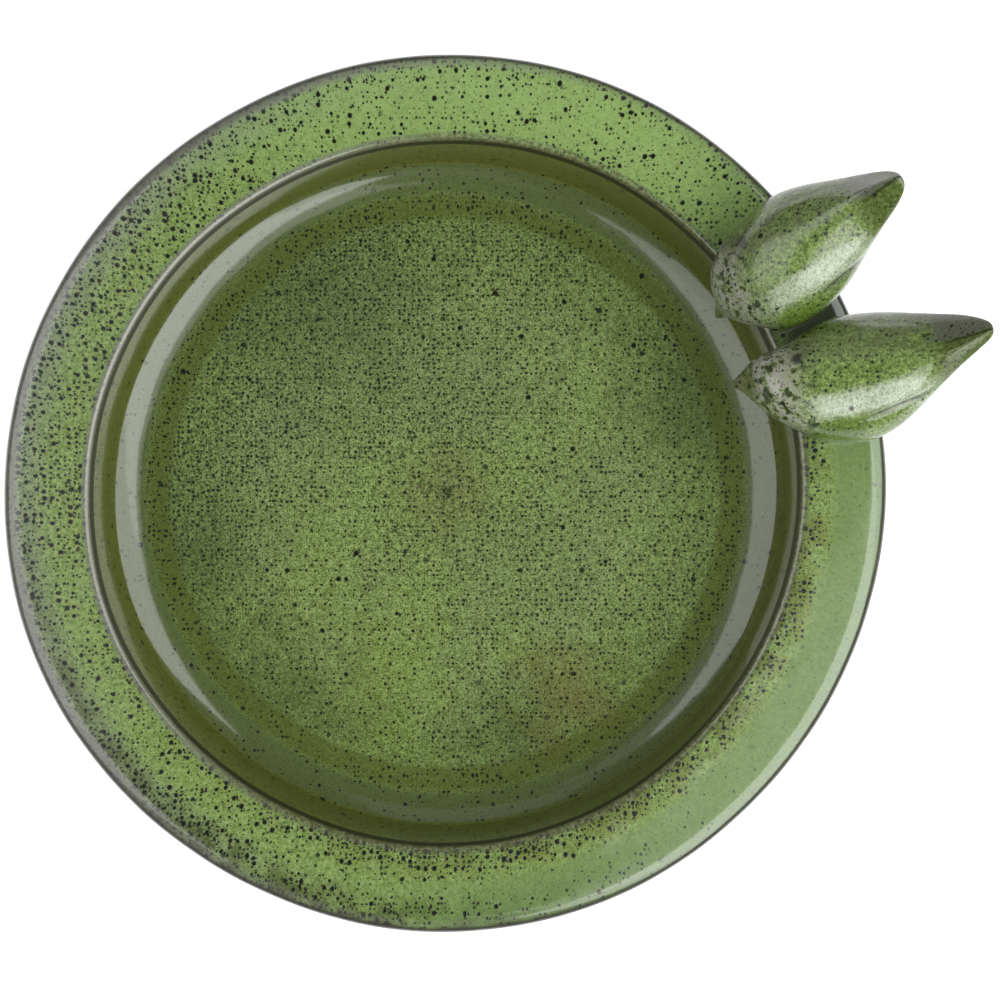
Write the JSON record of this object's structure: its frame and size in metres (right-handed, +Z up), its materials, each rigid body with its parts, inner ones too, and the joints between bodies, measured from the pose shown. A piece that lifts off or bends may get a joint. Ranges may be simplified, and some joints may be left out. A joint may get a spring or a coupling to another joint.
{
  "type": "bird bath",
  "caption": "Glazed stoneware bird bath: a shallow round dish with a broad flat rim, a foot ring, and hollow stoneware birds luted to the rim.",
  "frame": {"origin": "on the axis of the round dish, in the plane of the foot ring that it stands on", "axes": "+Z up; +X from the dish's axis towards the side with the birds, the watching bird's tail nearly along +X; +Y from the watching bird towards the drinking bird's side"},
  "size_m": [0.3284, 0.3, 0.0964],
  "materials": {
    "dish_glaze": "speckled green glaze, glossy",
    "bird_glaze": "speckled green glaze broken to grey on the edges, glossy",
    "lute_glaze": "olive green glaze, pooled and glossy"
  },
  "bodies": {
    "root": {"dish": "dish_glaze", "watching_bird": "bird_glaze", "drinking_bird": "bird_glaze", "watching_bird_lute": "lute_glaze", "drinking_bird_lute": "lute_glaze"}
  },
  "joints": []
}
